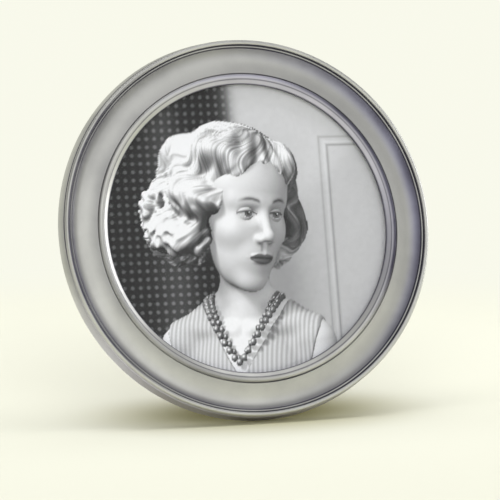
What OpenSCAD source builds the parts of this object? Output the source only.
// Round table picture frame: a cast moulding that holds glass, print, card and a
// wooden back board, kept in by four turn buttons, and stood up by a hinged leg.
// Millimetres. The frame stands on z = 0 and faces -Y.

/* [Moulding] */
// Diameter of the sight opening
sight_d = 127; // [110:1:140]
// Width of the moulding, from the sight edge to the back edge that it stands on
face_w = 20.5; // [18:0.5:26]
// Thickness of the lip in front of the glass
lip_t = 0.8; // [0.6:0.1:1.5]
// Width of the seat behind the lip that the glass lies on
seat_w = 2.9; // [2:0.1:3.5]
// Radius of the large bead round the rim
bead_r = 1.15; // [0.9:0.05:1.5]
// Height of the large bead above the sight edge
bead_rise = 3; // [2.4:0.1:4]
// How far the back edge stands out beyond the bead
flare = 1.2; // [0.6:0.1:1.8]
// Radius of the small reed inside the large bead
reed_r = 0.55; // [0.4:0.05:0.7]
// Width of the bevel that rises from the sight edge
bevel_w = 2; // [1.5:0.1:2.6]
// Height of the bevel
bevel_h = 1.5; // [1:0.1:2.2]
// Radius of the low bead on top of the bevel
crest_r = 1.6; // [1.2:0.1:2]
// Slope of the dished band where it leaves the inner beads, in degrees
dish_in = 14; // [5:1:20]
// Slope of the dished band where it meets the rim, in degrees
dish_out = 38; // [25:1:45]
// Chamfer on the back edge
edge_c = 0.4; // [0.2:0.1:0.8]
// Depth of the groove that lightens the back of the casting
relief_t = 2.8; // [1.5:0.1:3.2]
// Width of that groove
relief_w = 9; // [6:0.5:9]

/* [Glass, print and back] */
// Thickness of the glass
glass_t = 1.8; // [1.5:0.1:3]
// Thickness of the print
print_t = 0.25; // [0.2:0.05:0.4]
// Thickness of the backing card
card_t = 0.65; // [0.4:0.05:1.5]
// Thickness of the back board
board_t = 2.5; // [2:0.1:5]
// Chamfer round the outer face of the back board
board_c = 0.5; // [0.2:0.1:0.8]
// Radial room round the glass, the card and the board in their seat
seat_gap = 0.4; // [0.2:0.1:0.8]

/* [Turn buttons] */
// Length from the pivot to the tip
button_reach = 15; // [13:0.5:17]
// Width of the strip
button_w = 8; // [7:0.5:10]
// Thickness of the strip
button_t = 1; // [0.8:0.1:1.5]
// Radius of the pivot screw
pivot_r = 1.5; // [1.2:0.1:1.8]
// Depth of the screw in the moulding
pivot_deep = 3.6; // [3:0.1:4]

/* [Easel leg] */
// Lean of the frame from upright, in degrees
lean = 14; // [10:1:18]
// Angle between the leg and the back board when it stands open, in degrees
leg_open = 25; // [22:1:30]
// Height of the hinge above the middle of the frame, as a share of the sight radius
hinge_rise = 0.5; // [0.4:0.02:0.6]
// Width of the leg at the top
leg_top_w = 20; // [18:1:24]
// Width of the leg at the foot
leg_foot_w = 37; // [32:1:42]
// Thickness of the leg
leg_t = 3; // [2.5:0.1:4]
// Width of the arch between the two feet
arch_w = 15; // [8:1:16]
// Height of that arch
arch_h = 3; // [1.5:0.5:4]

/* [Hinge] */
// Length of the knuckles, end to end
hinge_w = 24; // [20:1:30]
// Thickness of the leaves
leaf_t = 1; // [0.8:0.1:1.2]
// Height of the upper leaf
leaf_up = 15; // [12:1:20]
// Length of the strap on the leg
leaf_down = 26; // [18:1:34]
// Radius of the hinge pin
pin_r = 1; // [0.8:0.1:1.2]
// Wall of the knuckle round the pin
knuckle_wall = 1.2; // [1:0.1:1.4]
// Radius of the screws that hold the leaves
leaf_screw_r = 1; // [0.8:0.1:1.3]
// Radius of all the screw heads, as a multiple of the screw's own
head_ratio = 2; // [1.8:0.1:2.2]

/* [Hidden] */
$fn = 96;

pewter = [0.66, 0.66, 0.64];
brass = [0.80, 0.66, 0.38];
steel = [0.70, 0.70, 0.72];
walnut = [0.30, 0.18, 0.11];

// Clearances: a running fit, flat pieces that must not touch, and a glued stack
run_gap = 0.06;
swing_gap = 0.3;
stack_gap = 0.05;
close_gap = 0.5;

// The stack in its seat, measured forwards from the back plane
card_z = board_t;
print_z = card_z + card_t;
glass_z = print_z + print_t + stack_gap;
seat_z = glass_z + glass_t;
sight_z = seat_z + lip_t;

sight_r = sight_d / 2;
ring_r = sight_r + face_w;
seat_r = sight_r + seat_w;
disc_r = seat_r - seat_gap;

// The large bead, and the small reed that stands against its foot
bead_c = [ring_r - flare - bead_r, sight_z + bead_rise - bead_r];
bead_from = -45;
bead_to = 205;
bead_end = bead_c + bead_r * [cos(bead_to), sin(bead_to)];
reed_from = 20;
reed_c = bead_end - reed_r * [cos(reed_from), sin(reed_from)];
quirk = 0.25;

// The low bead on top of the bevel, and the two ends of the dished band
crest_from = 130;
crest_to = 35;
crest_c = [sight_r + bevel_w, sight_z + bevel_h] - crest_r * [cos(crest_from), sin(crest_from)];
crest_end = crest_c + crest_r * [cos(crest_to), sin(crest_to)];
dish_a = crest_end + [1.4 * quirk, 0];
dish_b = reed_c + [-reed_r - quirk / 2, -quirk];
dish_span = dish_b[0] - dish_a[0];
dish_1 = dish_a + 0.45 * dish_span * [cos(dish_in), -sin(dish_in)];
dish_2 = dish_b - 0.30 * dish_span * [cos(dish_out), sin(dish_out)];

// The middle of the dished band carries the turn buttons' screws
band_r = (dish_a[0] + dish_b[0]) / 2 + 1;
relief_in = band_r - relief_w / 2;
relief_out = band_r + relief_w / 2;
boss_r = pivot_r + 2.6;
button_angles = [45, 135, 225, 315];

hinge_y = hinge_rise * sight_r;
hinge_knuckle_r = pin_r + run_gap + knuckle_wall;
hinge_z = hinge_knuckle_r + swing_gap;
knuckle_w = hinge_w / 3;
leg_in = hinge_z - close_gap;
leg_out = leg_in - leg_t;
leg_end = 2.9 + hinge_knuckle_r - 2.2;
// The tongue above the knuckle stops the leg where its tip meets the upper leaf
tongue_drop = -leg_out;
tongue = (hinge_z - leaf_t - stack_gap + tongue_drop * cos(leg_open)) / sin(leg_open);

// Where the middle of the back plane lies, so that the edge meets the floor and
// the origin is under the middle of the whole frame
foot_lean = leg_open - lean;
ring_z = max([for (p = moulding_profile()) p[0] * cos(lean) - p[1] * sin(lean)]);
hinge_drop = ring_z + hinge_y * cos(lean) - hinge_z * sin(lean);
foot_y = hinge_y * sin(lean) + hinge_z * cos(lean) + hinge_drop * tan(foot_lean)
       + tongue_drop / cos(foot_lean);
front_y = max([for (p = moulding_profile()) p[0] * sin(lean) + p[1] * cos(lean)]);
ring_y = (front_y - foot_y) / 2;

// Points along an arc from angle a to angle b
function arc(c, r, a, b, n = 12) = [
    for (i = [0:n]) let (t = a + (b - a) * i / n) c + r * [cos(t), sin(t)]
];

// Points along a cubic curve with its handles at p1 and p2
function curve(p0, p1, p2, p3, n = 24) = [
    for (i = [0:n]) let (t = i / n, s = 1 - t)
        s * s * s * p0 + 3 * s * s * t * p1 + 3 * s * t * t * p2 + t * t * t * p3
];

// Section of the moulding: x is the radius, y the height above the back plane
function moulding_profile() = concat(
    [[seat_r, 0], [seat_r, seat_z], [sight_r, seat_z], [sight_r, sight_z]],
    arc(crest_c, crest_r, crest_from, crest_to, 14),
    [crest_end + [quirk / 2, -quirk]],
    curve(dish_a, dish_1, dish_2, dish_b),
    arc(reed_c, reed_r, 180, reed_from, 8),
    arc(bead_c, bead_r, bead_to, bead_from, 20),
    [[ring_r - flare + quirk / 2, bead_c[1] - bead_r * sin(45) - quirk],
     [ring_r, edge_c], [ring_r - edge_c, 0]]
);

// Children drawn flat, front face up, are leant back and set on the floor
module leant() {
    translate([0, ring_y, ring_z])
        rotate([90 - lean, 0, 0])
            children();
}

// Children drawn with the hinge pin along X and the leg down -Y
module on_leg() {
    leant()
        translate([0, hinge_y, -hinge_z])
            rotate([leg_open, 0, 0])
                children();
}

module at_pivot(angle) {
    rotate(angle)
        translate([band_r, 0, 0])
            children();
}

// A screw with a domed, slotted head, its point down -Z and its seat at z = 0
module screw(r, deep, turn = 0) {
    head_r = r * head_ratio;
    head_h = head_r * 0.55;
    rotate(turn)
        difference() {
            rotate_extrude()
                polygon(concat(
                    [[0, -deep], [r * 0.5, -deep], [r, -deep + r], [r, 0], [head_r, 0]],
                    [for (i = [0:8]) let (t = 90 * i / 8)
                        [head_r * cos(t), head_h * (0.3 + 0.7 * sin(t))]]
                ));
            translate([-head_r - 1, -r * 0.22, head_h * 0.55])
                cube([2 * head_r + 2, r * 0.44, head_h]);
        }
}

module moulding() {
    color(pewter)
        leant()
            difference() {
                union() {
                    difference() {
                        rotate_extrude($fn = 180)
                            polygon(moulding_profile());
                        rotate_extrude($fn = 180)
                            polygon([
                                [relief_in, -1], [relief_in, 0],
                                [relief_in + 0.4, relief_t], [relief_out - 0.4, relief_t],
                                [relief_out, 0], [relief_out, -1]
                            ]);
                    }
                    for (a = button_angles)
                        at_pivot(a)
                            cylinder(r = boss_r, h = relief_t + 0.4);
                }
                for (a = button_angles)
                    at_pivot(a)
                        translate([0, 0, -1])
                            cylinder(r = pivot_r + stack_gap, h = pivot_deep + 1.2);
            }
}

module glass() {
    color([0.8, 0.9, 0.9, 0.3])
        leant()
            translate([0, 0, glass_z])
                cylinder(r = disc_r, h = glass_t, $fn = 180);
}

module photo_print() {
    color([0.75, 0.75, 0.75])
        leant()
            translate([0, 0, print_z])
                cylinder(r = disc_r - seat_gap, h = print_t, $fn = 180);
}

module backing_card() {
    color([0.82, 0.78, 0.70])
        leant()
            translate([0, 0, card_z])
                cylinder(r = disc_r, h = card_t, $fn = 180);
}

module back_board() {
    color(walnut)
        leant()
            difference() {
                rotate_extrude($fn = 180)
                    polygon([[0, 0], [disc_r - board_c, 0], [disc_r, board_c],
                             [disc_r, board_t], [0, board_t]]);
                for (p = upper_screw_places())
                    translate([p[0], hinge_y + p[1], -1])
                        cylinder(r = leaf_screw_r + stack_gap, h = 1 + board_t * 0.7);
            }
}

// A flat strip with round ends that turns about its screw, its tip over the board
module turn_button(angle) {
    tip = button_reach - button_w / 2;
    color(brass)
        leant()
            at_pivot(angle)
                rotate(180)
                    translate([0, 0, -button_t])
                        difference() {
                            linear_extrude(button_t)
                                union() {
                                    circle(d = button_w);
                                    translate([0, -button_w / 2])
                                        square([tip, button_w]);
                                    translate([tip, 0])
                                        circle(d = button_w);
                                }
                            translate([0, 0, -1])
                                cylinder(r = pivot_r + run_gap, h = button_t + 2);
                        }
}

module turn_button_screws() {
    color(brass)
        leant()
            for (a = button_angles)
                at_pivot(a)
                    translate([0, 0, -button_t - stack_gap])
                        rotate([180, 0, 0])
                            screw(pivot_r, pivot_deep + button_t, a * 1.7);
}

// Screw places on the leaves, from the hinge pin
function upper_screw_places() = [
    for (x = [-1, 1]) [x * (hinge_w / 2 - 4), leaf_up - 4.5]
];
function lower_screw_places() = [
    for (y = [0, 1]) [0, -leg_end - 5 - y * (leaf_down - leg_end - 9.5)]
];

// One barrel of the hinge, from x0 to x1 along the pin
module knuckle(x0, x1) {
    translate([x0, 0, 0])
        rotate([0, 90, 0])
            cylinder(r = hinge_knuckle_r, h = x1 - x0, $fn = 48);
}

module pin_bore(r) {
    translate([-hinge_w, 0, 0])
        rotate([0, 90, 0])
            cylinder(r = r, h = 2 * hinge_w, $fn = 48);
}

// The leaf on the back board, with a knuckle at each side
module hinge_upper_leaf() {
    clear = hinge_knuckle_r + swing_gap;
    color(brass)
        leant()
            translate([0, hinge_y, 0])
                difference() {
                    union() {
                        translate([0, 0, -leaf_t])
                            linear_extrude(leaf_t)
                                difference() {
                                    leaf_outline(hinge_w, 0, leaf_up);
                                    translate([-knuckle_w / 2 - swing_gap, -1])
                                        square([knuckle_w + 2 * swing_gap, clear + 1]);
                                }
                        translate([0, 0, -hinge_z]) {
                            knuckle(-hinge_w / 2, -knuckle_w / 2 - swing_gap / 2);
                            knuckle(knuckle_w / 2 + swing_gap / 2, hinge_w / 2);
                        }
                        for (s = [-1, 1])
                            translate([s * (hinge_w + knuckle_w) / 4, 0, -hinge_z / 2])
                                cube([(hinge_w - knuckle_w - swing_gap) / 2, leaf_t * 1.4,
                                      hinge_z], center = true);
                    }
                    translate([0, 0, -hinge_z])
                        pin_bore(pin_r + stack_gap / 2);
                    for (p = upper_screw_places())
                        translate([p[0], p[1], -leaf_t - 1])
                            cylinder(r = leaf_screw_r + stack_gap, h = leaf_t + 2);
                }
}

// Outline of a leaf w wide from y0 to y1, with its far corners rounded
module leaf_outline(w, y0, y1) {
    r = 2.5;
    union() {
        translate([-w / 2, y0])
            square([w, y1 - y0 - r]);
        translate([-w / 2 + r, y0])
            square([w - 2 * r, y1 - y0]);
        for (s = [-1, 1])
            translate([s * (w / 2 - r), y1 - r])
                circle(r = r);
    }
}

// The strap on the leg, with the middle knuckle and the tongue that stops it
module hinge_lower_leaf() {
    color(brass)
        on_leg()
            difference() {
                union() {
                    translate([0, 0, leg_out - leaf_t])
                        linear_extrude(leaf_t)
                            union() {
                                mirror([0, 1])
                                    leaf_outline(knuckle_w * 1.5, leg_end - 0.5, leaf_down);
                                translate([-knuckle_w / 2, -leg_end - 1])
                                    square([knuckle_w, leg_end + 1 + tongue]);
                            }
                    knuckle(-knuckle_w / 2, knuckle_w / 2);
                }
                pin_bore(pin_r + run_gap);
                for (p = lower_screw_places())
                    translate([p[0], p[1], leg_out - leaf_t - 1])
                        cylinder(r = leaf_screw_r + stack_gap, h = leaf_t + 2);
            }
}

// A rod with a peened head at each end
module hinge_pin() {
    head = 0.8;
    half = hinge_w / 2 + stack_gap;
    color(steel)
        leant()
            translate([0, hinge_y, -hinge_z])
                rotate([0, 90, 0])
                    rotate_extrude($fn = 48)
                        polygon(concat(
                            [[0, -half - head]],
                            [for (i = [0:6]) let (t = 90 * i / 6)
                                [pin_r * 1.6 * sin(t), -half - head * cos(t)]],
                            [[pin_r, -half], [pin_r, half]],
                            [for (i = [0:6]) let (t = 90 - 90 * i / 6)
                                [pin_r * 1.6 * sin(t), half + head * cos(t)]]
                        ));
}

module hinge_upper_screws() {
    color(brass)
        leant()
            for (p = upper_screw_places())
                translate([p[0], hinge_y + p[1], -leaf_t])
                    rotate([180, 0, 0])
                        screw(leaf_screw_r, leaf_t + board_t * 0.6, 60 + 12 * p[0]);
}

module hinge_lower_screws() {
    color(brass)
        on_leg()
            for (p = lower_screw_places())
                translate([p[0], p[1], leg_out - leaf_t])
                    rotate([180, 0, 0])
                        screw(leaf_screw_r, leaf_t + leg_t * 0.7, 40 + 9 * p[1]);
}

// Outline of the leg: it widens in a curve from the hinge to the foot
module leg_outline(long) {
    steps = 16;
    top = leg_top_w / 2;
    foot = leg_foot_w / 2;
    side = [
        for (i = [0:steps]) let (t = i / steps)
            [top + (foot - top) * pow(t, 1.5), -leg_end - t * (long - leg_end)]
    ];
    c = 1.5;
    polygon(concat(
        [[-top + c, side[0][1]], [top - c, side[0][1]], [top, side[0][1] - c]],
        [for (i = [1:steps]) side[i]],
        [for (i = [steps:-1:1]) [-side[i][0], side[i][1]]],
        [[-top, side[0][1] - c]]
    ));
}

module easel_leg() {
    long = hinge_drop / cos(foot_lean) + 2 * leg_t;
    reach = 2 * ring_r;
    color(walnut)
        difference() {
            on_leg()
                difference() {
                    translate([0, 0, leg_out])
                        linear_extrude(leg_t)
                            leg_outline(long);
                    for (p = lower_screw_places())
                        translate([p[0], p[1], leg_out - 1])
                            cylinder(r = leaf_screw_r + stack_gap, h = 1 + leg_t * 0.8);
                }
            // The foot is cut level with the floor, with an arch between its ends
            translate([-reach / 2, -reach / 2, -reach])
                cube([reach, reach, reach]);
            translate([0, 0, arch_h - (arch_w * arch_w / 4 + arch_h * arch_h) / (2 * arch_h)])
                rotate([90, 0, 0])
                    cylinder(r = (arch_w * arch_w / 4 + arch_h * arch_h) / (2 * arch_h),
                             h = reach, center = true);
        }
}

moulding();
glass();
photo_print();
backing_card();
back_board();
turn_button(button_angles[0]);  // turn_button_upper_right
turn_button(button_angles[1]);  // turn_button_upper_left
turn_button(button_angles[2]);  // turn_button_lower_left
turn_button(button_angles[3]);  // turn_button_lower_right
turn_button_screws();
hinge_upper_leaf();
hinge_lower_leaf();
hinge_pin();
hinge_upper_screws();
hinge_lower_screws();
easel_leg();
